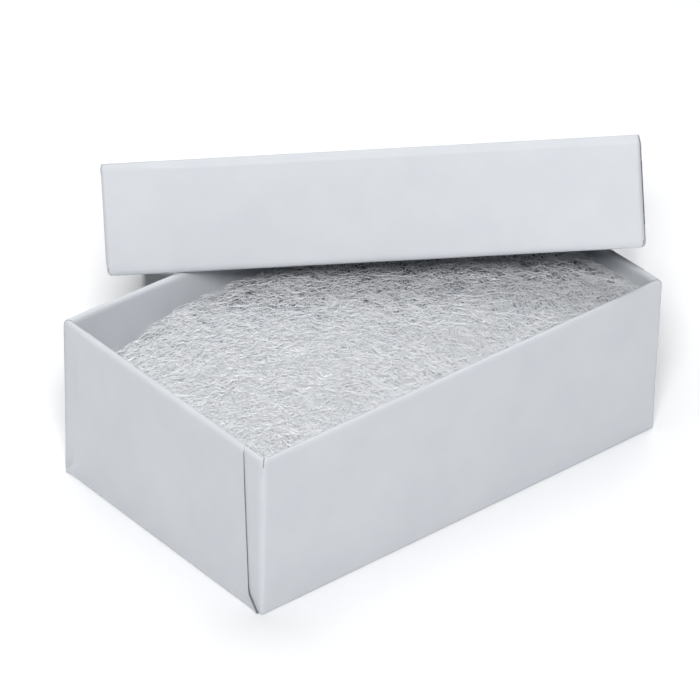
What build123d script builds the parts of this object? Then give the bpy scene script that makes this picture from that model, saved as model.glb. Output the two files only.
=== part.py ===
from build123d import *
import os

# Two-piece set-up gift box for jewelry: a paper-wrapped chipboard tray holding a
# fibre pad, and a paper-wrapped chipboard lid that leans open over one corner.
# Frame: millimetres, +Z up, X along the tray's long side, origin at the centre
# of the tray's underside.

# ---- driving dimensions of the tray
TRAY_LENGTH = 66.7
TRAY_WIDTH = 40.5
TRAY_HEIGHT = 23.0

# ---- driving dimensions of the lid, measured outside
LID_LENGTH = 69.5
LID_WIDTH = 43.3
LID_HEIGHT = 14.4

# ---- sheet stock
BOARD = 0.75
PAPER = 0.12
STAY = 0.08

# ---- how both trays are folded and wrapped
CORNER_SLIT = 0.15
TURN_IN = 12.0
LID_TURN_IN = 9.0
STAY_LEG = 8.0
STAY_END_GAP = 0.7
SEAM_FROM_CORNER = 2.7
SEAM_DIAGONAL = 2.2
WRAP_CORNER_RADIUS = 0.6
BASE_FOLD_RADIUS = 0.4
LID_FOLD_RADIUS = 1.25
WRAP_RIM_OUTER_RADIUS = 0.5
WRAP_RIM_INNER_RADIUS = 0.35
BOARD_RIM_RADIUS = 0.2

# ---- fibre pad
PAD_TOP = 18.6
PAD_SIDE_GAP = 0.35
PAD_FLOOR_GAP = 0.1
PAD_CORNER_RADIUS = 2.0
PAD_TOP_RADIUS = 1.5

# ---- where the open lid leans: middle of its front bottom edge, and its turns
LID_FRONT_EDGE = (3.74, 2.72, 25.98)
LID_YAW = -41.40
LID_ROLL = -5.63
LID_PITCH = -31.54

# The long sides carry one layer of paper over the stay, the short sides two.
LONG_SIDE_SKIN = STAY + PAPER
SHORT_SIDE_SKIN = STAY + 2 * PAPER
FLOOR_THICKNESS = PAPER + BOARD

# The board's outside radii are smaller than those of the paper that covers it.
BOARD_RADIUS_STEP = 0.2
BOARD_CORNER_RADIUS = WRAP_CORNER_RADIUS - BOARD_RADIUS_STEP

# How far a cutting body reaches past what it cuts, and how exactly a level is met.
CUT_MARGIN = 0.5
LEVEL_TOLERANCE = 0.001


def block(x_size, y_size, z_low, z_high):
    """A box centred on the Z axis between two heights."""
    return Pos(0, 0, (z_low + z_high) / 2) * Box(x_size, y_size, z_high - z_low)


def upright_edges(shape):
    """The edges that stand parallel to Z."""
    return shape.edges().filter_by(Axis.Z)


def rounded_block(x_size, y_size, z_low, z_high, radius):
    """A centred box with rounded upright edges."""
    body = block(x_size, y_size, z_low, z_high)
    return fillet(upright_edges(body), radius)


def level_edges(shape, height):
    """The edges that lie in one level plane."""
    low = height - LEVEL_TOLERANCE
    high = height + LEVEL_TOLERANCE
    return shape.edges().filter_by_position(Axis.Z, low, high)


class SetUpTray:
    """One paper-wrapped chipboard tray, standing on its panel, open at the top."""

    def __init__(self, length, width, height, turn_in, fold_radius):
        self.length = length
        self.width = width
        self.height = height
        self.turn_in = turn_in
        self.fold_radius = fold_radius
        self.board_length = length - 2 * SHORT_SIDE_SKIN
        self.board_width = width - 2 * LONG_SIDE_SKIN
        self.board_top = height - PAPER
        self.inner_length = self.board_length - 2 * BOARD
        self.inner_width = self.board_width - 2 * BOARD

    def board_form(self):
        """The outside of the folded board, as one solid block."""
        body = rounded_block(
            self.board_length, self.board_width, PAPER, self.board_top, BOARD_CORNER_RADIUS
        )
        return fillet(level_edges(body, PAPER), self.fold_radius - BOARD_RADIUS_STEP)

    def board_envelope(self):
        """The room the board takes up in the wrap, with its corners closed."""
        body = self.board_form()
        body -= block(self.inner_length, self.inner_width, FLOOR_THICKNESS, self.height)
        return fillet(level_edges(body, self.board_top), BOARD_RIM_RADIUS)

    def board_side(self, centre_x, centre_y, x_size, y_size):
        """One wall of the board, with the fold that joins it to the panel."""
        slab = Pos(centre_x, centre_y, 0) * block(x_size, y_size, 0, self.height)
        body = self.board_form() & slab
        return fillet(level_edges(body, self.board_top), BOARD_RIM_RADIUS)

    def board_parts(self, low_y_word, high_y_word):
        """The scored blank, divided at its score lines; its walls butt with a slit."""
        short_centre = self.inner_length / 2 + BOARD / 2
        long_centre = self.inner_width / 2 + BOARD / 2
        short_size = self.inner_width - 2 * CORNER_SLIT
        panel = block(self.inner_length, self.inner_width, PAPER, FLOOR_THICKNESS)
        parts = {"panel": panel & self.board_form()}
        for side, word in ((-1, low_y_word), (1, high_y_word)):
            parts[word] = self.board_side(0, side * long_centre, self.board_length, BOARD)
        for side, word in ((-1, "left"), (1, "right")):
            parts[word] = self.board_side(side * short_centre, 0, BOARD, short_size)
        return parts

    def stay_band(self):
        """A closed band of tape round the board, which the four stays are cut from."""
        low = FLOOR_THICKNESS + STAY_END_GAP
        high = self.board_top - STAY_END_GAP
        outer = rounded_block(
            self.board_length + 2 * STAY,
            self.board_width + 2 * STAY,
            low,
            high,
            BOARD_CORNER_RADIUS + STAY,
        )
        inner = rounded_block(
            self.board_length,
            self.board_width,
            low - CUT_MARGIN,
            high + CUT_MARGIN,
            BOARD_CORNER_RADIUS,
        )
        return outer - inner

    def corner_stay(self, side_x, side_y):
        """A strip of paper tape folded round one upright corner of the board."""
        centre_x = side_x * (self.board_length / 2 + STAY - STAY_LEG / 2 + CUT_MARGIN)
        centre_y = side_y * (self.board_width / 2 + STAY - STAY_LEG / 2 + CUT_MARGIN)
        corner = Pos(centre_x, centre_y, 0) * block(
            STAY_LEG + 2 * CUT_MARGIN, STAY_LEG + 2 * CUT_MARGIN, 0, self.height
        )
        return self.stay_band() & corner

    def tab_recess(self, side_x, side_y):
        """The step beside a corner, where the side panel's cut edge shows its tab."""
        outline = Polyline(
            (0, -CUT_MARGIN),
            (SEAM_FROM_CORNER, SEAM_DIAGONAL),
            (SEAM_FROM_CORNER, self.height + CUT_MARGIN),
            (-CUT_MARGIN, self.height + CUT_MARGIN),
            (-CUT_MARGIN, -CUT_MARGIN),
            close=True,
        )
        face = make_face(outline)
        # The outline's first axis runs inward from the corner, its second runs up.
        plane = Plane(
            origin=(side_x * (self.length / 2 - PAPER), side_y * self.width / 2, 0),
            x_dir=(0, -side_y, 0),
            z_dir=(-side_y, 0, 0),
        )
        # The plane faces +X or -X, and the recess always reaches outward.
        outward = 1 if side_x * side_y < 0 else -1
        return extrude(plane * face, amount=outward * 2 * CUT_MARGIN)

    def rim_edges(self, shape, inner):
        """The edges of the rim's inner outline, or of its outer one."""
        found = []
        for edge in level_edges(shape, self.height):
            middle = edge.center()
            inside_x = abs(middle.X) < self.inner_length / 2
            inside_y = abs(middle.Y) < self.inner_width / 2
            if (inside_x and inside_y) == inner:
                found.append(edge)
        return found

    def wrap(self, stays):
        """The paper sheet: panel, sides, tabs and the turn-in over the rim."""
        body = rounded_block(self.length, self.width, 0, self.height, WRAP_CORNER_RADIUS)
        body = fillet(level_edges(body, 0), self.fold_radius)
        turn_in_bottom = self.height - self.turn_in
        body -= block(self.inner_length, self.inner_width, FLOOR_THICKNESS, turn_in_bottom)
        body -= block(
            self.inner_length - 2 * PAPER,
            self.inner_width - 2 * PAPER,
            turn_in_bottom,
            self.height + CUT_MARGIN,
        )
        body = fillet(self.rim_edges(body, inner=False), WRAP_RIM_OUTER_RADIUS)
        body = fillet(self.rim_edges(body, inner=True), WRAP_RIM_INNER_RADIUS)
        body -= self.board_envelope()
        for stay in stays.values():
            body -= stay
        for side_x in (-1, 1):
            for side_y in (-1, 1):
                body -= self.tab_recess(side_x, side_y)
        return body

    def pieces(self, prefix, low_y_word, high_y_word):
        """Every piece of the tray by node name."""
        stays = {}
        for side_y, depth_word in ((-1, low_y_word), (1, high_y_word)):
            for side_x, side_word in ((-1, "left"), (1, "right")):
                name = f"{prefix}_corner_stay_{depth_word}_{side_word}"
                stays[name] = self.corner_stay(side_x, side_y)
        pieces = {f"{prefix}_wrap": self.wrap(stays)}
        pieces.update(stays)
        for word, part in self.board_parts(low_y_word, high_y_word).items():
            pieces[f"{prefix}_board_{word}"] = part
        return pieces


def lid_place():
    """From the lid standing on its panel to the lid leaning open on the tray."""
    turned_over = Pos(0, LID_WIDTH / 2, LID_HEIGHT) * Rot(180, 0, 0)
    lean = Rot(0, 0, LID_YAW) * Rot(0, LID_ROLL, 0) * Rot(LID_PITCH, 0, 0)
    return Pos(*LID_FRONT_EDGE) * lean * turned_over


def fibre_pad(tray):
    """The pad of loose fibre that fills the tray almost to the rim."""
    length = tray.inner_length - 2 * PAPER - 2 * PAD_SIDE_GAP
    width = tray.inner_width - 2 * PAPER - 2 * PAD_SIDE_GAP
    body = rounded_block(
        length, width, FLOOR_THICKNESS + PAD_FLOOR_GAP, PAD_TOP, PAD_CORNER_RADIUS
    )
    return fillet(level_edges(body, PAD_TOP), PAD_TOP_RADIUS)


def main():
    base = SetUpTray(TRAY_LENGTH, TRAY_WIDTH, TRAY_HEIGHT, TURN_IN, BASE_FOLD_RADIUS)
    lid = SetUpTray(LID_LENGTH, LID_WIDTH, LID_HEIGHT, LID_TURN_IN, LID_FOLD_RADIUS)
    nodes = base.pieces("base", "front", "back")
    nodes["fibre_pad"] = fibre_pad(base)
    place = lid_place()
    # Turning the lid over about X brings its far side to the front.
    for name, piece in lid.pieces("lid", "back", "front").items():
        nodes[name] = place * piece
    os.makedirs("parts", exist_ok=True)
    for name, piece in nodes.items():
        export_step(piece, f"parts/{name}.step")


main()
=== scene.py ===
import math

import bpy
import numpy as np
from mathutils import Matrix, Vector, noise


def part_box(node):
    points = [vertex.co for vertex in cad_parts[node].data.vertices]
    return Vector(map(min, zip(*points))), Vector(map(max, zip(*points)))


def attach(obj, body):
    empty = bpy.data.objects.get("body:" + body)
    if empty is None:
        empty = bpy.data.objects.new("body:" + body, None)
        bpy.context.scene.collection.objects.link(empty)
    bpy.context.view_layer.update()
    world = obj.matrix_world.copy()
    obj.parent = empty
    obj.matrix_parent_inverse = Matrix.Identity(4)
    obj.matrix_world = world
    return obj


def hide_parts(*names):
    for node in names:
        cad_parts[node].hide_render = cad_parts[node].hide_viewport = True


# A paper-wrapped jewelry gift box: a tray with a fibre pad in it, and its lid leaning
# open over one corner. Meshes are worked out in millimetres and placed in metres.

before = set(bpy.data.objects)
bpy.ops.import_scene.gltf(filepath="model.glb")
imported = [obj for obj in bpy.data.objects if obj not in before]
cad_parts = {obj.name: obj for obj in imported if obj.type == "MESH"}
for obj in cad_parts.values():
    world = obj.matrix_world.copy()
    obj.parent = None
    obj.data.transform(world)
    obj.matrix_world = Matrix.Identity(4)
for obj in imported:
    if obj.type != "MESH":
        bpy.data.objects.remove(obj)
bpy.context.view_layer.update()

MM = 0.001

# How close to a corner, or to nothing, counts as being there.
AT_CORNER = 1e-6
TINY = 1e-9

# How far apart in the noise two seeds lie.
NOISE_SHIFT = (17.3, 5.1, 9.7)

# ---- the sheets in millimetres, and the walls they make: the short sides have a tab more
PAPER = 0.12
BOARD = 0.75
STAY = 0.08
LONG_SIDE_WALL = BOARD + STAY + 2 * PAPER
SHORT_SIDE_WALL = LONG_SIDE_WALL + PAPER

# ---- how each tray is folded; the lid's score is half cut, which leaves a flat facet
BASE_FOLDS = {"turn_in": 12.0, "fold_radius": 0.35, "facet": 0.0, "rim_height": 0.9}
LID_FOLDS = {"turn_in": 9.0, "fold_radius": 1.0, "facet": 1.15, "rim_height": 0.95}

# ---- the seam: where the side panel's cut edge stands, and how it lifts off its tab
SEAM_AT_DIAGONAL = 2.3
SEAM_LEAN = 0.062
SEAM_DIAGONAL = 2.4
SEAM_AT_PANEL = 0.4
SEAM_GAP_DEPTH = 0.4
SEAM_LIFT = 0.055
SEAM_LIFT_FADE = 6.0
SEAM_TIP_LIFT = 0.12
SEAM_TIP_TOP = 4.0
SEAM_TIP_RUN = 2.5
SEAM_UNDERSIDE_STEP = 0.01
SEAM_EDGE = 0.065
LID_SEAM_LOOSENESS = 0.3
LID_SEAM_OPEN = (3.0, 11.5)

# ---- wear of the lid: a rim corner pushed in, and an upright edge pinched
KNOCK = 0.15
KNOCK_DROP = 0.25
KNOCK_REACH = (2.5, 3.0, 2.2)
PINCH_FROM_EDGE = 0.28
PINCH_WIDTH = 0.12
PINCH_DEPTH = 0.06
PINCH_UNDER_RIM = 1.5
PINCH_OVER_FOOT = 2.0
PINCH_FADE = 2.0
PINCH_FACE_REACH = 0.6

# ---- slight bows of a glued paper box: size of the lumps, and how far they move it
SLOW_LUMPS = 14.0
FINE_LUMPS = 4.5
BOW = 0.05
SLOW_BOW = 0.05
FINE_BOW = 0.025
RIM_BOW = 0.04
RIM_BOW_REACH = 2.0

# ---- the fold between the panel and the walls, and the rim
INSIDE_STEP = 0.35
RIM_SQUARENESS = 0.7
FOLD_STEPS = 12
FACET_SLOPE = 0.58
FACET_ROUND = 0.13
SHORT_SIDE_FOLD = 0.3
CREASED = 0.95
RUBBED_AWAY = 0.75
RUBBED_FROM = 0.62
RUBBED_RUN = 0.3

# ---- the slit at each upright corner, near the rim
SLIT_HALF_WIDTH = 0.07
SLIT_TAIL = 0.012
SLIT_DEPTH = 0.02
# How far down from the rim the slit faces are painted dark, as shade: outside, then inside.
SLIT_DARK_REACH = 1.0
INSIDE_SLIT_REACH = 2.2
SLIT_REACH = 4.2

# ---- radii of the upright corners
FOOT_CORNER_RADIUS = 0.45
PANEL_CORNER_RADIUS = 0.6 * FOOT_CORNER_RADIUS
CORNER_RADIUS = 0.62
CORNER_RADIUS_REACH = 6.0
INNER_CORNER_RADIUS = 0.25
BOARD_CORNER_RADIUS = 0.45

# ---- where the rings of the mesh lie
PANEL_INSETS = (17.5, 12.0, 8.0, 5.0, 3.2, 2.2, 1.4)
WALL_OVER_FOLD = 0.1
WALL_RINGS = 26
RIM_STEPS = 14
TURN_IN_RINGS = 9
HIDDEN_OVER_TOP = 0.3
HIDDEN_UNDER_TOP = 1
HIDDEN_FOOT = (2.0, 1.3)


# ------------------------------------------------------------------ places from the CAD


def mesh_points(node):
    """The vertices of a CAD node in millimetres."""
    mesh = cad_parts[node].data
    points = np.zeros(len(mesh.vertices) * 3, np.float32)
    mesh.vertices.foreach_get("co", points)
    return points.reshape(-1, 3).astype(float) / MM


def face_normals(node):
    """The face normals and areas of a CAD node."""
    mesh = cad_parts[node].data
    normals = np.array([face.normal for face in mesh.polygons])
    areas = np.array([face.area for face in mesh.polygons])
    return normals, areas


class TrayPlace:
    """Where a wrapped tray stands in the frame, and its size.

    Its own frame has its origin at the middle of the outer panel face, x along the
    length, y along the width and z from the panel to the open side."""

    def __init__(self, prefix):
        normals, areas = face_normals(f"{prefix}_board_panel")
        spread = (normals * areas[:, None]).T @ normals
        axes = np.linalg.eigh(spread)[1].T
        wrap = mesh_points(f"{prefix}_wrap")
        sizes = [np.ptp(wrap @ axis) for axis in axes]
        order = np.argsort(sizes)[::-1]
        x_axis, z_axis = axes[order[0]], axes[order[2]]
        if x_axis[0] < 0:
            x_axis = -x_axis
        opening = self.middle(wrap, axes)
        panel = mesh_points(f"{prefix}_board_panel").mean(0)
        if (opening - panel) @ z_axis < 0:
            z_axis = -z_axis
        y_axis = np.cross(z_axis, x_axis)
        self.axes = np.array([x_axis, y_axis, z_axis])
        low = (wrap @ self.axes.T).min(0)
        high = (wrap @ self.axes.T).max(0)
        self.length, self.width, self.height = high - low
        self.origin = self.axes.T @ np.array(
            [(low[0] + high[0]) / 2, (low[1] + high[1]) / 2, low[2]]
        )

    @staticmethod
    def middle(points, axes):
        """The middle of the box round some points, along the given axes."""
        along = points @ axes.T
        return axes.T @ ((along.min(0) + along.max(0)) / 2)

    def place(self, points):
        """Points of the tray's own frame, in the row frame."""
        return points @ self.axes + self.origin


# ------------------------------------------------------------------ mesh helpers


def new_piece(name, points, faces, material, body, smooth_angle=40):
    """A mesh object from points in millimetres, riding on a body."""
    mesh = bpy.data.meshes.new(name)
    mesh.from_pydata((np.asarray(points) * MM).tolist(), [], faces)
    mesh.validate()
    mesh.polygons.foreach_set("use_smooth", [True] * len(mesh.polygons))
    if smooth_angle:
        mesh.set_sharp_from_angle(angle=math.radians(smooth_angle))
    mesh.materials.append(material)
    piece = bpy.data.objects.new(name, mesh)
    bpy.context.scene.collection.objects.link(piece)
    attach(piece, body)
    return piece


def ease(value):
    """A smooth step from 0 to 1."""
    value = np.clip(value, 0, 1)
    return value * value * (3 - 2 * value)


def wander(points, scale, seed):
    """Smooth noise from -1 to 1 at each point, with lumps about one scale wide."""
    shift = Vector([seed * part for part in NOISE_SHIFT])
    return np.array([noise.noise(Vector(p) / scale + shift) for p in points])


# ------------------------------------------------------------------ the wrapped trays


class Outline:
    """A rounded rectangle walked side by side, from corner middle to corner middle.

    The short sides face along x and carry the seams; the long sides face along y."""

    ARC_STEPS = 6
    LONG_STEPS = 46
    SHORT_STEPS = 26
    TAB_STEPS = 7
    EDGE_STEPS = (0.0, 0.2, 0.5, 0.9)
    UNDERSIDE_LIFT = (0.2, 1.0)
    EVEN_SHARE = 0.35

    def __init__(self, half_x, half_y, radius, slit=SLIT_TAIL):
        self.half_x = half_x
        self.half_y = half_y
        self.radius = radius
        self.slit = slit
        self.quarter = radius * math.pi / 4

    def long_stations(self):
        """Distances along a long side at which it has a vertex."""
        straight = 2 * (self.half_x - self.radius)
        start = np.linspace(self.slit, self.quarter, self.ARC_STEPS)
        middle = self.quarter + straight * self.packed(self.LONG_STEPS)
        whole = straight + 2 * self.quarter
        return np.concatenate([[0], start, middle, whole - start[::-1]])

    def short_stations(self, seam, gap):
        """Distances along a short side at which it has a vertex: the tab, the gap that
        runs back under the side panel's cut edge, and the panel."""
        straight = 2 * (self.half_y - self.radius)
        whole = straight + 2 * self.quarter
        tab = np.linspace(self.slit, seam, self.TAB_STEPS)
        under = np.array([seam + gap, seam + gap, seam])
        edge = seam + np.array(self.EDGE_STEPS)
        middle = edge[-1] + (whole - 2 * edge[-1]) * self.packed(self.SHORT_STEPS)
        near = np.concatenate([tab, under, edge])
        return np.concatenate([[0], near, middle, whole - near[::-1]])

    def short_kinds(self, count):
        """Which sheet each vertex of a short side is on, and how far its edge lifts it.

        The tab is 0 and the side panel that lies over it 1; the panel's underside
        beside its cut edge is 2 and 3."""
        kind = np.ones(count)
        lift = np.zeros(count)
        first = self.TAB_STEPS + 1
        kind[:first] = 0
        kind[first : first + 3] = (2, 2, 3)
        lift[first + 1 : first + 3] = self.UNDERSIDE_LIFT
        spots = first + 3 + np.arange(len(self.EDGE_STEPS))
        lift[spots] = 1 - ease(np.array(self.EDGE_STEPS) / self.EDGE_STEPS[-1])
        half = (count + 1) // 2
        for values in (kind, lift):
            values[half:] = values[1 : count - half + 1][::-1]
        return kind, lift

    def packed(self, steps):
        """Fractions from 0 to 1, ends left out, closer together at both ends."""
        even = np.linspace(0, 1, steps + 2)[1:-1]
        return self.EVEN_SHARE * even + (1 - self.EVEN_SHARE) * ease(even)

    def side(self, stations, half_along, half_across):
        """Points along one side and their outward normals, before it is turned."""
        straight = 2 * (half_along - self.radius)
        angle_in = np.clip(stations / self.radius, 0, math.pi / 4)
        past = stations - self.quarter - straight
        angle_out = np.clip(past / self.radius, 0, math.pi / 4)
        turn = angle_in - math.pi / 4 + angle_out
        run = np.clip(stations - self.quarter, 0, straight)
        along = self.radius - half_along + run + self.radius * np.sin(turn)
        across = half_across - self.radius + self.radius * np.cos(turn)
        return along, across, np.sin(turn), np.cos(turn)

    def points(self, seam, gap):
        """Every vertex: place, normal, sheet, distance to its corner and lift."""
        rows = []
        for number in range(4):
            short = number % 2 == 0
            stations = self.short_stations(seam, gap) if short else self.long_stations()
            half_along = self.half_y if short else self.half_x
            half_across = self.half_x if short else self.half_y
            along, across, lean, out = self.side(stations, half_along, half_across)
            whole = stations[-1] + stations[1] - stations[0]
            turn = number * math.pi / 2
            x_dir = np.array([math.cos(turn), math.sin(turn)])
            y_dir = np.array([-math.sin(turn), math.cos(turn)])
            place = across[:, None] * x_dir + along[:, None] * y_dir
            normal = out[:, None] * x_dir + lean[:, None] * y_dir
            to_corner = np.minimum(stations, whole - stations)
            count = len(stations)
            kind, lift = self.short_kinds(count) if short else np.zeros((2, count))
            rows.append(np.column_stack([place, normal, kind, to_corner, lift]))
        return np.concatenate(rows)


def seam_distance(height):
    """How far the side panel's cut edge stands from the corner, at a height over the
    panel: a straight diagonal from the panel's corner, then a line that leans away."""
    diagonal = min(height / SEAM_DIAGONAL, 1.0)
    lean = SEAM_LEAN * max(height - SEAM_DIAGONAL, 0.0)
    return SEAM_AT_PANEL + (SEAM_AT_DIAGONAL - SEAM_AT_PANEL) * diagonal + lean


class WrapShape:
    """The paper of one tray as a closed sheet: an outer skin, the rim, the turn-in, and
    the hidden face that lies on the board."""

    def __init__(self, tray, seed, turn_in, fold_radius, facet, rim_height):
        self.tray = tray
        self.turn_in = turn_in
        self.fold_radius = fold_radius
        self.facet = facet
        self.rim_height = rim_height
        self.seed = seed
        self.looseness = LID_SEAM_LOOSENESS if facet else 1.0
        self.seam_open = LID_SEAM_OPEN if facet else (0.0, tray.height)
        self.rings = []

    def ring(self, inset_x, inset_y, height, radius, style, strength=1.0):
        """One ring of vertices at a height, inset from the outer envelope."""
        tray = self.tray
        half_x = tray.length / 2 - PAPER - inset_x
        half_y = tray.width / 2 - inset_y
        seam = SEAM_AT_PANEL if style in ("panel", "hidden") else seam_distance(height)
        gap = SEAM_GAP_DEPTH if style in ("wall", "rim") else 0
        below_rim = tray.height - height
        opened = ease(1 - below_rim / SLIT_REACH)
        slit = SLIT_TAIL + (SLIT_HALF_WIDTH - SLIT_TAIL) * opened
        ring = Outline(half_x, half_y, radius, slit).points(seam, gap)
        place, normal = ring[:, 0:2], ring[:, 2:4]
        kind, to_corner, lift = ring[:, 4:7].T
        at_corner = to_corner < AT_CORNER
        points = np.column_stack([place, np.full(len(ring), float(height))])
        if style != "hidden":
            at_tip = ease((SEAM_TIP_TOP - height) / SEAM_TIP_RUN)
            raised = (SEAM_LIFT + SEAM_TIP_LIFT * at_tip) * ease(below_rim / SEAM_LIFT_FADE)
            lifted = self.looseness * raised * (style == "wall") * lift
            sheets = [PAPER, PAPER - SEAM_EDGE]
            step = np.select([kind == 1, kind == 3], sheets, SEAM_UNDERSIDE_STEP)
            step = np.where(kind == 0, 0.0, step + lifted)
            notch = SLIT_DEPTH * opened * at_corner
            points[:, :2] += normal * (strength * (step - notch))[:, None]
        return points

    def add_ring(self, *details):
        """Puts one more ring on the sheet."""
        self.rings.append(self.ring(*details))

    def build_rings(self):
        """Panel, fold, wall, rim and turn-in, then back along the board."""
        tray = self.tray
        fold = self.fold_radius
        for inset in PANEL_INSETS:
            extra = fold + inset
            self.add_ring(extra, extra, 0, PANEL_CORNER_RADIUS, "panel")
        for soft, crisp in zip(self.soft_fold(), self.crisp_fold()):
            soft_ring = self.fold_ring(*soft)
            share = self.crispness(soft_ring)[:, None]
            self.rings.append(soft_ring * (1 - share) + self.fold_ring(*crisp) * share)
        top = tray.height - self.rim_height
        foot = max(fold, self.facet + FACET_ROUND) + WALL_OVER_FOLD
        for share in np.linspace(0, 1, WALL_RINGS)[:-1]:
            height = foot + (top - foot) * share
            opened = ease((height - foot) / CORNER_RADIUS_REACH)
            radius = FOOT_CORNER_RADIUS + (CORNER_RADIUS - FOOT_CORNER_RADIUS) * opened
            self.add_ring(0, 0, height, radius, "wall")
        for step in range(RIM_STEPS + 1):
            # The last angle stays just under pi, so its sine is not below zero.
            angle = min(step / RIM_STEPS * math.pi, math.pi - TINY)
            across = (1 - math.cos(angle)) / 2
            height = top + self.rim_height * math.sin(angle) ** RIM_SQUARENESS
            inset_x = across * (SHORT_SIDE_WALL - PAPER)
            inset_y = across * LONG_SIDE_WALL
            radius = CORNER_RADIUS + (INNER_CORNER_RADIUS - CORNER_RADIUS) * across
            self.add_ring(inset_x, inset_y, height, radius, "rim", math.cos(angle))
        bottom = tray.height - self.turn_in
        wall_x, wall_y = SHORT_SIDE_WALL - PAPER, LONG_SIDE_WALL
        for share in np.linspace(0, 1, TURN_IN_RINGS)[1:]:
            height = top + (bottom - top) * share
            self.add_ring(wall_x, wall_y, height, INNER_CORNER_RADIUS, "inside", -INSIDE_STEP)
        self.add_ring(wall_x - PAPER, wall_y - PAPER, bottom, INNER_CORNER_RADIUS, "hidden")
        under, over = top - HIDDEN_UNDER_TOP, top + HIDDEN_OVER_TOP
        for height in (under, over):
            self.add_ring(wall_x - PAPER, wall_y - PAPER, height, INNER_CORNER_RADIUS, "hidden")
        for height in (over, under, *HIDDEN_FOOT):
            self.add_ring(PAPER, PAPER, height, BOARD_CORNER_RADIUS, "hidden")
        for inset in (fold, fold + PANEL_INSETS[0]):
            self.add_ring(inset, inset, PAPER, FOOT_CORNER_RADIUS, "hidden")

    def fold_ring(self, inset, height):
        """One ring of the fold between the panel and the walls."""
        radius = max(FOOT_CORNER_RADIUS - inset, PANEL_CORNER_RADIUS)
        across = inset * (SHORT_SIDE_FOLD if self.facet else 1.0)
        return self.ring(across, inset, height, radius, "wall")

    def soft_fold(self):
        """Insets and heights of a round fold, from the panel to the wall."""
        angles = np.linspace(0, math.pi / 2, FOLD_STEPS)
        return self.fold_radius * np.column_stack([1 - np.sin(angles), 1 - np.cos(angles)])

    def crisp_fold(self):
        """Insets and heights of a fold over a half-cut score: a flat facet between two
        narrow creases."""
        if not self.facet:
            return self.soft_fold()
        crease_a = np.array([self.facet * FACET_SLOPE, 0.0])
        crease_b = np.array([0.0, self.facet])
        slant = (crease_b - crease_a) / np.linalg.norm(crease_b - crease_a)
        half = FOLD_STEPS // 2
        near = self.crease(crease_a, np.array([-1.0, 0.0]), slant, 2 * FACET_ROUND, half)
        far = self.crease(crease_b, slant, np.array([0.0, 1.0]), FACET_ROUND, FOLD_STEPS - half)
        return np.concatenate([near, far])

    @staticmethod
    def crease(corner, before, after, reach, steps):
        """A narrow rounding where one direction turns into another."""
        share = np.linspace(0, 1, steps)[:, None]
        start, end = corner - before * reach, corner + after * reach
        return start * (1 - share) ** 2 + corner * 2 * share * (1 - share) + end * share**2

    def crispness(self, points):
        """Where the fold is creased rather than rubbed round: least at the low-x end."""
        if not self.facet:
            return np.zeros(len(points))
        along = points[:, 0] / (self.tray.length / 2)
        rubbed = ease((-along - RUBBED_FROM) / RUBBED_RUN)
        return np.clip(CREASED - RUBBED_AWAY * rubbed, 0, 1)

    def mesh(self):
        """All points and faces of the sheet."""
        self.build_rings()
        count = len(self.rings[0])
        points = np.concatenate(self.rings)
        faces = []
        for ring in range(len(self.rings) - 1):
            low = ring * count
            high = low + count
            for spot in range(count):
                after = (spot + 1) % count
                faces.append((low + spot, low + after, high + after, high + spot))
        faces.append(tuple(reversed(range(count))))
        faces.append(tuple(range((len(self.rings) - 1) * count, len(self.rings) * count)))
        return points, faces, self.core_and_shade_faces(count)

    def core_and_shade_faces(self, count):
        """The faces in the dark second material, by number: the seam's cut edge, where the
        paper's grey core shows, and the gap under it, on the outside and where the seam is
        open, and the slits near the rim. In the gap and the slits the dark grey is painted
        shade."""
        # Which vertices these are doesn't depend on the size, so any outline will do.
        outline = Outline(1.0, 1.0, 0.1).points(0.2, 0)
        kinds, to_corner = outline[:, 4], outline[:, 5]
        under = (kinds > 1) | (np.roll(kinds, -1) > 1)
        top = len(self.rings) - 1
        heights = np.array([ring[:, 2].mean() for ring in self.rings[:-1]])
        outer = np.arange(top) < np.argmax(heights)
        low, high = self.seam_open
        rings = np.flatnonzero(outer & (heights >= low) & (heights <= high))[:, None]
        seams = (rings * count + np.flatnonzero(under)).ravel()
        # Near the rim the faces beside each corner slit get the dark grey as painted shade.
        corner = to_corner < AT_CORNER
        beside = np.flatnonzero(corner | np.roll(corner, -1))
        reach = np.where(outer, SLIT_DARK_REACH, INSIDE_SLIT_REACH)
        near_rim = np.flatnonzero(heights > self.tray.height - reach)[:, None]
        slits = (near_rim * count + beside).ravel()
        return np.union1d(seams, slits).tolist()

    def relax(self, points):
        """Slight bows and dents that a glued paper box has, within its thickness."""
        tray = self.tray
        share_x = points[:, 0] / (tray.length / 2)
        share_y = points[:, 1] / (tray.width / 2)
        rise = points[:, 2] / tray.height
        # Only the walls bow: the outer eighth of the length and sixth of the width.
        out_x = np.clip(np.abs(share_x) * 8 - 7, 0, 1) * np.sign(share_x)
        out_y = np.clip(np.abs(share_y) * 6 - 5, 0, 1) * np.sign(share_y)
        slow = SLOW_BOW * wander(points, SLOW_LUMPS, self.seed)
        fine = FINE_BOW * wander(points, FINE_LUMPS, self.seed + 3)
        swell = (BOW + slow + fine) * ease(rise * 4)
        moved = points.copy()
        moved[:, 0] += out_x * swell * (1 - share_y**2)
        moved[:, 1] += out_y * swell * (1 - share_x**4)
        at_rim = ease((points[:, 2] - tray.height + RIM_BOW_REACH) / RIM_BOW_REACH)
        moved[:, 2] += at_rim * np.maximum(RIM_BOW + slow + fine, 0)
        return moved

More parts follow.
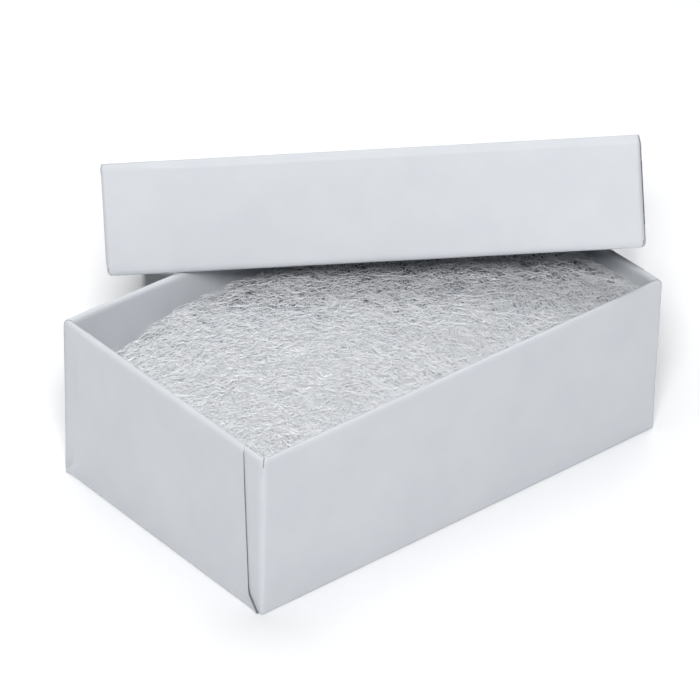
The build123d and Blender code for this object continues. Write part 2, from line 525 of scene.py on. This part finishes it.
    def wear(self, points):
        """The knocks of handling: one rim corner pushed in, one upright edge pinched."""
        tray = self.tray
        moved = points.copy()
        from_left = points[:, 0] + tray.length / 2
        from_right = tray.length / 2 - points[:, 0]
        from_front = tray.width / 2 - points[:, 1]
        to_rim = tray.height - points[:, 2]
        knock = KNOCK
        for gap, reach in zip((from_left, from_front, to_rim), KNOCK_REACH):
            knock = knock * ease(1 - gap / reach)
        moved[:, 0] += knock
        moved[:, 2] -= KNOCK_DROP * knock
        over_foot = tray.height - to_rim - PINCH_OVER_FOOT
        upright = ease((to_rim - PINCH_UNDER_RIM) / PINCH_FADE) * ease(over_foot / PINCH_FADE)
        pinch = np.exp(-(((from_right - PINCH_FROM_EDGE) / PINCH_WIDTH) ** 2))
        near_face = np.clip(1 - np.abs(from_front) / PINCH_FACE_REACH, 0, 1)
        moved[:, 1] -= PINCH_DEPTH * pinch * upright * near_face
        return moved


def build_wrap(prefix, folds, body, paper, core_and_shade, seed):
    """The paper wrap of one tray, standing for its CAD node."""
    tray = TrayPlace(prefix)
    shape = WrapShape(tray, seed, **folds)
    points, faces, core_and_shade_faces = shape.mesh()
    points = shape.relax(points)
    if shape.facet:
        points = shape.wear(points)
    points = tray.place(points)
    name = f"{prefix}_paper_wrap"
    piece = new_piece(name, points, faces, paper, body, smooth_angle=38)
    # The dark second material: the paper's grey core at the seam's cut edge, and painted shade
    # in the gap under it and in the slits.
    piece.data.materials.append(core_and_shade)
    for number in core_and_shade_faces:
        piece.data.polygons[number].material_index = 1
    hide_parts(f"{prefix}_wrap")


# ------------------------------------------------------------------ the fibre pad

# ---- how deep the batt lies under its strands, matted and loose
BATT_SUNK = 0.1
BATT_SUNK_LOOSE = 1.0

# ---- the batt's sides: rows down to the foot, how they bulge, and how the foot tucks in
BATT_ROWS = (0.12, 0.4, 0.7, 1.0)
BATT_BULGE = 0.12
BATT_TUCK = 0.35
BATT_HALF_SIZE = 20

# ---- how strands wind, ripple and taper, and how thick the layer is that they lie in
WAVES = (1.0, 2.3)
SWING = (0.2, 1.0)
PACE = (0.7, 1.4)
SIDE_SWING = 0.6
RIPPLE = 0.09
RIPPLE_PACE = 9
THICKNESS = (0.7, 1.25)
END_TAPER = 0.4
LAYER_MATTED = 0.5
LAYER_LOOSE = 0.7
LAYER_PACKING = 0.8
WALL_MARGIN = 0.5

# ---- where strands lie on the pad's sides
SIDE_STRAND_BELOW_TOP = 0.15
SIDE_STRAND_OVER_FOOT = 1.6
SIDE_STRAND_SUNK = 0.01
SIDE_STRAND_PROUD = 0.05


class PadSurface:
    """The height of the pad's top over the tray floor, on a fine grid."""

    CELL = 0.25
    OVER_CAD = 0.22
    SINK = 1.0
    DOME = 2.4
    FRONT_RISE = 1.1
    FRONT_LEFT_RISE = 0.4
    RIGHT_RISE = 2.2
    BACK_RISE = 0.7
    BACK_LEFT_DROP = 3.0
    SHOULDER = 1.3
    SHOULDER_REACH = 3.0
    TUFTS = ((7.0, 0.20), (3.2, 0.09), (1.5, 0.06), (0.7, 0.06))

    def __init__(self, seed):
        low, high = (np.array(corner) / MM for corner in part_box("fibre_pad"))
        self.reach = (high - low)[:2] / 2 + self.OVER_CAD
        self.middle = (high + low)[:2] / 2
        self.bottom = low[2]
        self.level = high[2]
        rng = np.random.default_rng(seed)
        counts = np.round(2 * self.reach / self.CELL).astype(int) + 1
        self.xs = np.linspace(-self.reach[0], self.reach[0], counts[0])
        self.ys = np.linspace(-self.reach[1], self.reach[1], counts[1])
        x, y = np.meshgrid(self.xs, self.ys, indexing="ij")
        self.heights = self.crown(x, y) + self.lumps(rng, counts)

    def crown(self, x, y):
        """The broad shape: full in the middle, at the front and at the right, and lowest
        in the back left corner. Where each rise starts and ends is a share of the half
        length or the half width."""
        share_x, share_y = x / self.reach[0], y / self.reach[1]
        dome = (1 - np.abs(share_x) ** 2.6) * (1 - np.abs(share_y) ** 2.4)
        front = ease((0.9 - share_y) / 1.8)
        left = ease((0.6 - share_x) / 1.8)
        base = self.level - self.SINK + self.DOME * dome
        base += self.FRONT_RISE * front + self.FRONT_LEFT_RISE * left * front
        right = ease((share_x - 0.25) / 0.75)
        back = ease((share_y - 0.2) / 0.8)
        base += self.RIGHT_RISE * right + self.BACK_RISE * back * (1 - right)
        base -= self.BACK_LEFT_DROP * ease((-share_x - 0.45) / 0.55) * back
        edge = np.minimum(self.reach[0] - np.abs(x), self.reach[1] - np.abs(y))
        shoulder = self.SHOULDER * (1 - ease(edge / self.SHOULDER_REACH)) ** 2
        return base - shoulder

    def lumps(self, rng, counts):
        """Soft tufts of several sizes."""
        total = np.zeros(counts)
        for spacing, amount in self.TUFTS:
            total += amount * self.soft_noise(rng, counts, spacing)
        return total

    def soft_noise(self, rng, counts, spacing):
        """Random values on a coarse grid, eased between its knots."""
        coarse = (2 * self.reach / spacing).astype(int) + 3
        knots = rng.normal(size=coarse)
        u = np.linspace(0, coarse[0] - 1.001, counts[0])
        v = np.linspace(0, coarse[1] - 1.001, counts[1])
        i, j = u.astype(int), v.astype(int)
        a, b = ease(u - i)[:, None], ease(v - j)[None, :]
        i2, j2 = i + 1, j + 1
        low = knots[np.ix_(i, j)] * (1 - a) + knots[np.ix_(i2, j)] * a
        high = knots[np.ix_(i, j2)] * (1 - a) + knots[np.ix_(i2, j2)] * a
        return low * (1 - b) + high * b

    def looseness(self, x, y):
        """How loose the strands lie: matted at the front left, open at the back right. It also
        darkens the batt's colour, as painted shade.
        """
        share_x, share_y = x / self.reach[0], y / self.reach[1]
        return ease((share_x + 0.9 * share_y + 0.9) / 1.9)

    def height_at(self, x, y):
        """The height at any places, between the grid's points."""
        u = np.clip((x + self.reach[0]) / (2 * self.reach[0]), 0, 0.9999) * (len(self.xs) - 1)
        v = np.clip((y + self.reach[1]) / (2 * self.reach[1]), 0, 0.9999) * (len(self.ys) - 1)
        i, j = u.astype(int), v.astype(int)
        a, b = u - i, v - j
        grid = self.heights
        near = grid[i, j] * (1 - a) + grid[i + 1, j] * a
        far = grid[i, j + 1] * (1 - a) + grid[i + 1, j + 1] * a
        return near * (1 - b) + far * b


def build_batt(surface, material):
    """The body of the pad: a closed form with a tufted top."""
    nx, ny = len(surface.xs), len(surface.ys)
    x, y = np.meshgrid(surface.xs, surface.ys, indexing="ij")
    sunk = BATT_SUNK + BATT_SUNK_LOOSE * surface.looseness(x, y)
    top = np.column_stack([x.ravel(), y.ravel(), (surface.heights - sunk).ravel()])
    index = np.arange(nx * ny).reshape(nx, ny)
    faces = []
    for i in range(nx - 1):
        for j in range(ny - 1):
            faces.append((index[i, j], index[i + 1, j], index[i + 1, j + 1], index[i, j + 1]))
    border = np.concatenate(
        [index[:, 0], index[-1, 1:], index[-2::-1, -1], index[0, -2:0:-1]]
    )
    count = len(border)
    points = [top]
    rows = [border]
    start = nx * ny
    for share in BATT_ROWS:
        row = top[border].copy()
        row[:, 2] = row[:, 2] * (1 - share) + surface.bottom * share
        bulge = BATT_BULGE * math.sin(share * math.pi) - BATT_TUCK * (share == 1.0)
        row[:, :2] *= 1 + bulge / BATT_HALF_SIZE
        row[:, :2] = np.clip(row[:, :2], -surface.reach, surface.reach)
        points.append(row)
        rows.append(np.arange(start, start + count))
        start += count
    for upper, lower in zip(rows, rows[1:]):
        for spot in range(count):
            after = (spot + 1) % count
            faces.append((upper[after], upper[spot], lower[spot], lower[after]))
    faces.append(tuple(rows[-1][::-1]))
    faces = [tuple(int(v) for v in face) for face in faces]
    points = np.concatenate(points) + np.array([*surface.middle, 0])
    piece = new_piece("fibre_batt", points, faces, material, "pad", smooth_angle=0)
    # The looseness is kept on the batt to darken its colour towards the back right, as painted
    # shade.
    shade = piece.data.attributes.new("looseness", "FLOAT", "POINT")
    place = points - np.array([*surface.middle, 0])
    shade.data.foreach_set("value", surface.looseness(place[:, 0], place[:, 1]))
    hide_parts("fibre_pad")


def fibre_paths(surface, rng, count, steps, length, lift, loft, curl, thin):
    """Curly lines that lie on the pad and stand a little out of it."""
    lengths = rng.uniform(length[0], length[1], count)
    start = rng.uniform(-1, 1, (2 * count, 2)) * surface.reach
    kept = rng.uniform(0, 1, 2 * count) > thin * surface.looseness(*start.T)
    start = np.concatenate([start[kept], start[~kept]])[:count]
    stride = lengths / (steps - 1)
    s = np.linspace(0, 1, steps)[None, :]
    heading = rng.uniform(0, 2 * math.pi, (count, 1))
    heading = heading + rng.normal(0, curl, (count, 1)) * s
    for waves in WAVES:
        swing = rng.uniform(*SWING, (count, 1)) * curl / waves
        phase = rng.uniform(0, 2 * math.pi, (count, 1))
        pace = waves * rng.uniform(*PACE, (count, 1)) * 2 * math.pi
        heading = heading + swing * np.sin(pace * s + phase)
    x = start[:, :1] + np.cumsum(np.cos(heading), 1) * stride[:, None]
    y = start[:, 1:] + np.cumsum(np.sin(heading), 1) * stride[:, None]
    margin = rng.uniform(0.0, WALL_MARGIN, (count, 1))
    x = np.clip(x, margin - surface.reach[0], surface.reach[0] - margin)
    y = np.clip(y, margin - surface.reach[1], surface.reach[1] - margin)
    arch = rng.uniform(lift[0], lift[1], (count, 1))
    phase = rng.uniform(0, 2 * math.pi, (count, 1))
    looser = LAYER_MATTED + LAYER_LOOSE * surface.looseness(start[:, :1], start[:, 1:])
    layer = loft * looser * rng.uniform(0, 1, (count, 1)) ** LAYER_PACKING
    rise = layer + arch * np.sin(math.pi * s) + RIPPLE * np.sin(RIPPLE_PACE * s + phase)
    z = surface.height_at(x, y) + rise
    return np.stack([x, y, z], axis=2)


def side_paths(surface, rng, count, steps, length, curl):
    """Curly lines that lie on the pad's four sides."""
    reach_x, reach_y = surface.reach
    corners = np.cumsum([0, 2 * reach_x, 2 * reach_y, 2 * reach_x, 2 * reach_y])
    lengths = rng.uniform(length[0], length[1], (count, 1))
    s = np.linspace(0, 1, steps)[None, :]
    heading = rng.uniform(0, 2 * math.pi, (count, 1)) + rng.normal(0, curl, (count, 1)) * s
    phase = rng.uniform(0, 2 * math.pi, (count, 1))
    heading = heading + SIDE_SWING * curl * np.sin(2 * math.pi * s + phase)
    stride = lengths / (steps - 1)
    run = rng.uniform(0, corners[-1], (count, 1)) + np.cumsum(np.cos(heading), 1) * stride
    run = np.mod(run, corners[-1])
    x = np.interp(run, corners, [-reach_x, reach_x, reach_x, -reach_x, -reach_x])
    y = np.interp(run, corners, [-reach_y, -reach_y, reach_y, reach_y, -reach_y])
    top = surface.height_at(x, y) - SIDE_STRAND_BELOW_TOP
    low = surface.bottom + SIDE_STRAND_OVER_FOOT
    start = low + (surface.level - low) * rng.uniform(0, 1, (count, 1))
    z = np.clip(start + np.cumsum(np.sin(heading), 1) * stride, low, top)
    proud = rng.uniform(-SIDE_STRAND_SUNK, SIDE_STRAND_PROUD, (count, 1))
    return np.stack([x * (1 + proud / reach_x), y * (1 + proud / reach_y), z], axis=2)


def tubes(paths, radius):
    """Closed three-sided tubes along many paths at once."""
    count, steps, _ = paths.shape
    along = np.gradient(paths, axis=1)
    along /= np.linalg.norm(along, axis=2, keepdims=True) + TINY
    # Not quite upright, so that hardly any strand runs along it.
    up = np.array([0.05, 0.03, 1.0])
    across = np.cross(along, up)
    across /= np.linalg.norm(across, axis=2, keepdims=True) + TINY
    rise = np.cross(across, along)
    taper = np.ones(steps)
    taper[0] = taper[-1] = END_TAPER
    corners = []
    for number in range(3):
        angle = math.pi / 2 + number * 2 * math.pi / 3
        spoke = math.cos(angle) * across + math.sin(angle) * rise
        corners.append(paths + spoke * radius[:, None, None] * taper[None, :, None])
    points = np.stack(corners, axis=2).reshape(-1, 3)
    base = (np.arange(count) * steps * 3)[:, None, None]
    step = (np.arange(steps - 1) * 3)[None, :, None]
    corner = np.arange(3)[None, None, :]
    after = (corner + 1) % 3
    low = base + step
    quads = np.stack([low + corner, low + after, low + after + 3, low + corner + 3], -1)
    faces = quads.reshape(-1, 4).tolist()
    first = base[:, 0, 0]
    last = first + (steps - 1) * 3
    faces += np.stack([first + 2, first + 1, first], -1).tolist()
    faces += np.stack([last, last + 1, last + 2], -1).tolist()
    return points, faces


# ---- the kinds of strand: lengths and heights in millimetres, curl in radians
FELT = {
    "count": 3300,
    "steps": 11,
    "length": (1.6, 3.8),
    "lift": (-0.05, 0.25),
    "loft": 0.6,
    "curl": 4.2,
    "thin": 1.0,
}
CURLS = {
    "count": 1800,
    "steps": 18,
    "length": (4.0, 9.5),
    "lift": (0.0, 0.4),
    "loft": 1.2,
    "curl": 3.2,
    "thin": 0.65,
}
STRAYS = {
    "count": 900,
    "steps": 22,
    "length": (6.0, 13.0),
    "lift": (0.1, 1.0),
    "loft": 0.9,
    "curl": 2.8,
    "thin": 0.0,
}
SIDES = {"count": 1900, "steps": 16, "length": (3.0, 8.0), "curl": 2.6}


def build_fibres(surface, material):
    """Loose strands on the pad: a fine felt, longer curls, a few stray ends, and the
    strands on its sides."""
    kinds = (
        ("fibre_felt_a", fibre_paths, FELT, 0.028, 11),
        ("fibre_felt_b", fibre_paths, FELT, 0.028, 12),
        ("fibre_curls_a", fibre_paths, CURLS, 0.035, 13),
        ("fibre_curls_b", fibre_paths, CURLS, 0.035, 14),
        ("fibre_curls_c", fibre_paths, CURLS, 0.035, 18),
        ("fibre_strays", fibre_paths, STRAYS, 0.034, 15),
        ("fibre_sides", side_paths, SIDES, 0.034, 21),
    )
    for name, make_paths, shape, radius, seed in kinds:
        rng = np.random.default_rng(seed)
        paths = make_paths(surface, rng, **shape)
        paths += np.array([*surface.middle, 0])
        radii = radius * rng.uniform(*THICKNESS, shape["count"])
        points, faces = tubes(paths, radii)
        piece = new_piece(name, points, faces, material, "pad", smooth_angle=0)


# ------------------------------------------------------------------ materials


class Nodes:
    """A short way to write a material's nodes."""

    def __init__(self, name):
        self.material = bpy.data.materials.new(name)
        self.material.use_nodes = True
        self.tree = self.material.node_tree
        self.shader = self.tree.nodes["Principled BSDF"]
        self.place = self.tree.nodes.new("ShaderNodeTexCoord").outputs["Object"]

    def noise(self, size, detail=3.0, roughness=0.55):
        """Noise whose lumps are about size metres wide."""
        node = self.tree.nodes.new("ShaderNodeTexNoise")
        node.inputs["Scale"].default_value = 1 / size
        node.inputs["Detail"].default_value = detail
        node.inputs["Roughness"].default_value = roughness
        self.tree.links.new(self.place, node.inputs["Vector"])
        return node.outputs["Fac"]

    def spread(self, value, low, high, start=0.3, end=0.7):
        """The value's middle range mapped to low..high."""
        node = self.tree.nodes.new("ShaderNodeMapRange")
        node.inputs["From Min"].default_value = start
        node.inputs["From Max"].default_value = end
        node.inputs["To Min"].default_value = low
        node.inputs["To Max"].default_value = high
        self.tree.links.new(value, node.inputs["Value"])
        return node.outputs["Result"]

    def mix(self, share, low, high):
        """A colour between two, either of which may come from a node."""
        node = self.tree.nodes.new("ShaderNodeMix")
        node.data_type = "RGBA"
        self.tree.links.new(share, node.inputs["Factor"])
        # Its colour sockets share their names with others, so they go by number.
        for socket, value in ((node.inputs[6], low), (node.inputs[7], high)):
            if isinstance(value, tuple):
                socket.default_value = (*value, 1)
            else:
                self.tree.links.new(value, socket)
        return node.outputs[2]

    def bump(self, height, depth, strength, under=None):
        """A bump of a depth in metres, on top of another bump."""
        node = self.tree.nodes.new("ShaderNodeBump")
        node.inputs["Distance"].default_value = depth
        node.inputs["Strength"].default_value = strength
        self.tree.links.new(height, node.inputs["Height"])
        if under is not None:
            self.tree.links.new(under, node.inputs["Normal"])
        return node.outputs["Normal"]

    def finish(self, colour, roughness, normal):
        """The three inputs that vary over the surface."""
        self.tree.links.new(colour, self.shader.inputs["Base Color"])
        self.tree.links.new(roughness, self.shader.inputs["Roughness"])
        self.tree.links.new(normal, self.shader.inputs["Normal"])
        return self.material


def paper_material():
    """Cool white coated paper with a faint mottle and a fine tooth."""
    n = Nodes("coated_paper")
    mottle = n.noise(0.006, 4.0)
    fine = n.noise(0.0004, 2.0)
    colour = n.mix(n.spread(mottle, 0, 1), (0.635, 0.654, 0.686), (0.667, 0.687, 0.716))
    rough = n.spread(fine, 0.50, 0.62)
    waves = n.bump(n.noise(0.0035, 3.0), 0.00006, 0.6)
    tooth = n.bump(n.noise(0.00012, 2.0), 0.00001, 0.5, under=waves)
    n.shader.inputs["Specular IOR Level"].default_value = 0.4
    return n.finish(colour, rough, tooth)


def core_and_shade_material():
    """The grey core of the wrap paper, seen at its cut edges, and painted shade in the gap
    under them and in the corner slits.
    """
    n = Nodes("paper_core_and_painted_shade")
    shade = n.spread(n.noise(0.0008, 3.0), 0, 1)
    colour = n.mix(shade, (0.24, 0.24, 0.255), (0.36, 0.36, 0.375))
    rough = n.spread(shade, 0.85, 0.95)
    return n.finish(colour, rough, n.bump(n.noise(0.0003, 2.0), 0.00001, 0.4))


def board_material():
    """Grey-white chipboard with specks and a matted fibre grain."""
    n = Nodes("chipboard")
    speck = n.spread(n.noise(0.0003, 2.0), 0, 1, 0.62, 0.72)
    pulp = n.spread(n.noise(0.0018, 5.0), 0, 1)
    base = n.mix(pulp, (0.68, 0.68, 0.675), (0.75, 0.75, 0.745))
    colour = n.mix(speck, base, (0.45, 0.42, 0.38))
    rough = n.spread(n.noise(0.0006, 2.0), 0.8, 0.95)
    grain = n.bump(n.noise(0.00025, 4.0), 0.00003, 0.6)
    return n.finish(colour, rough, grain)


def tape_material():
    """Buff paper tape with a faint fibre grain."""
    n = Nodes("stay_paper")
    colour = n.mix(n.spread(n.noise(0.001, 4.0), 0, 1), (0.70, 0.65, 0.56), (0.77, 0.73, 0.65))
    rough = n.spread(n.noise(0.0005, 2.0), 0.7, 0.85)
    return n.finish(colour, rough, n.bump(n.noise(0.0003, 3.0), 0.00002, 0.5))


def batt_material():
    """The matted body of the pad under its loose strands, darkening into painted shade between
    them towards the back right, where they lie loose.
    """
    n = Nodes("matted_fibre_and_painted_shade")
    tuft = n.spread(n.noise(0.0005, 4.0, 0.7), 0, 1)
    matted = n.mix(tuft, (0.79, 0.81, 0.85), (0.945, 0.957, 0.975))
    # The open weave's dark blue-grey is painted shade between the loose strands.
    open_weave_shade = n.mix(tuft, (0.25, 0.27, 0.33), (0.52, 0.545, 0.62))
    loose = n.tree.nodes.new("ShaderNodeAttribute")
    loose.attribute_name = "looseness"
    colour = n.mix(loose.outputs["Fac"], matted, open_weave_shade)
    rough = n.spread(tuft, 0.85, 0.95)
    mat = n.bump(n.noise(0.0005, 5.0, 0.7), 0.0003, 0.9)
    n.shader.inputs["Specular IOR Level"].default_value = 0.2
    return n.finish(colour, rough, mat)


def strand_material():
    """Single white fibres, with a slight gloss."""
    n = Nodes("loose_fibre")
    shade = n.spread(n.noise(0.002, 3.0), 0, 1)
    colour = n.mix(shade, (0.95, 0.96, 0.98), (0.97, 0.977, 0.99))
    rough = n.spread(shade, 0.45, 0.6)
    n.shader.inputs["Specular IOR Level"].default_value = 0.4
    return n.finish(colour, rough, n.bump(n.noise(0.0004, 2.0), 0.00001, 0.3))


def floor_material():
    """A pale studio surface."""
    n = Nodes("studio_floor")
    shade = n.noise(0.2, 2.0)
    colour = n.mix(shade, (0.96, 0.96, 0.963), (0.975, 0.975, 0.977))
    rough = n.spread(shade, 0.85, 0.95)
    n.shader.inputs["Emission Color"].default_value = (1, 1, 1, 1)
    n.shader.inputs["Emission Strength"].default_value = FLOOR_GLOW
    return n.finish(colour, rough, n.bump(shade, 0.0001, 0.1))


def cover_board_nodes():
    """Better materials for the CAD nodes that stay in view."""
    board, tape = board_material(), tape_material()
    for name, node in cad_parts.items():
        if "_board_" in name:
            set_material(node, board)
        elif "_stay_" in name:
            set_material(node, tape)


def set_material(node, material):
    """Puts one material into every slot of a CAD object."""
    for slot in node.material_slots:
        slot.material = material


# ------------------------------------------------------------------ camera, light, floor


# ---- the camera: what it looks at, from how far and from which side
AIM = Vector((2.38, 5.58, 11.5)) * MM
DISTANCE = 585.3 * MM
AZIMUTH = math.radians(-40.71)
ELEVATION = math.radians(33.39)
ROLL = math.radians(1.35)
LENS = 231.4

# ---- where each light stands and how large it is, in metres
OVERHEAD_PLACE = (0.05, 0.15, 0.9)
OVERHEAD_SIZE = 0.8
FRONT_PLACE = (-0.44, -0.48, 0.70)
FRONT_SIZE = 0.3
BEHIND_PLACE = (0.28, 0.36, 0.85)
BEHIND_SIZE = 0.85

# ---- how strong each light is
WORLD_STRENGTH = 0.08
OVERHEAD_POWER = 1.0
FRONT_POWER = 6.5
BEHIND_POWER = 5.2
FLOOR_GLOW = 0.04

# ---- the floor: half its side, and how far it lies under the tray, in metres
FLOOR_HALF = 1.5
FLOOR_UNDER = 0.00005


def add_camera():
    """The view: a long lens, a third of the way up, from over the front left corner."""
    back = Vector(
        (
            math.sin(AZIMUTH) * math.cos(ELEVATION),
            -math.cos(AZIMUTH) * math.cos(ELEVATION),
            math.sin(ELEVATION),
        )
    )
    right = Vector((math.cos(AZIMUTH), math.sin(AZIMUTH), 0))
    up = back.cross(right)
    turned_right = right * math.cos(ROLL) + up * math.sin(ROLL)
    turned_up = up * math.cos(ROLL) - right * math.sin(ROLL)
    turn = Matrix((turned_right, turned_up, back)).transposed()
    data = bpy.data.cameras.new("camera")
    data.lens = LENS
    data.sensor_width = 36
    data.clip_start = 0.01
    camera = bpy.data.objects.new("camera", data)
    camera.matrix_world = Matrix.Translation(AIM + back * DISTANCE) @ turn.to_4x4()
    bpy.context.scene.collection.objects.link(camera)
    bpy.context.scene.camera = camera


def add_area(name, place, size, power):
    """A square soft light at a place in metres, pointing at the frame's origin."""
    data = bpy.data.lights.new(name, "AREA")
    data.size = size
    data.energy = power
    light = bpy.data.objects.new(name, data)
    light.location = place
    direction = -Vector(place)
    light.rotation_euler = direction.to_track_quat("-Z", "Y").to_euler()
    bpy.context.scene.collection.objects.link(light)


def add_studio():
    """A dim bluish room, a strong light from the camera's side, and large soft ones
    overhead and behind."""
    world = bpy.data.worlds.new("studio")
    world.use_nodes = True
    backdrop = world.node_tree.nodes["Background"]
    backdrop.inputs["Color"].default_value = (0.70, 0.84, 1.0, 1)
    backdrop.inputs["Strength"].default_value = WORLD_STRENGTH
    bpy.context.scene.world = world
    bpy.context.scene.view_settings.view_transform = "Standard"
    add_area("overhead", OVERHEAD_PLACE, OVERHEAD_SIZE, OVERHEAD_POWER)
    add_area("front", FRONT_PLACE, FRONT_SIZE, FRONT_POWER)
    add_area("behind", BEHIND_PLACE, BEHIND_SIZE, BEHIND_POWER)


def add_floor():
    """A large square floor just under the tray."""
    mesh = bpy.data.meshes.new("floor")
    half = FLOOR_HALF
    mesh.from_pydata(
        [(-half, -half, 0), (half, -half, 0), (half, half, 0), (-half, half, 0)],
        [],
        [(0, 1, 2, 3)],
    )
    mesh.materials.append(floor_material())
    floor = bpy.data.objects.new("floor", mesh)
    floor.location.z = -FLOOR_UNDER
    bpy.context.scene.collection.objects.link(floor)


# ------------------------------------------------------------------ the whole


def main():
    paper = paper_material()
    # A dark grey for the paper's cut edges, which is also painted shade in the seam gaps and
    # corner slits.
    core_and_shade = core_and_shade_material()
    build_wrap("base", BASE_FOLDS, "tray", paper, core_and_shade, seed=1)
    build_wrap("lid", LID_FOLDS, "lid", paper, core_and_shade, seed=2)
    cover_board_nodes()
    surface = PadSurface(seed=5)
    build_batt(surface, batt_material())
    build_fibres(surface, strand_material())
    add_camera()
    add_studio()
    add_floor()


main()
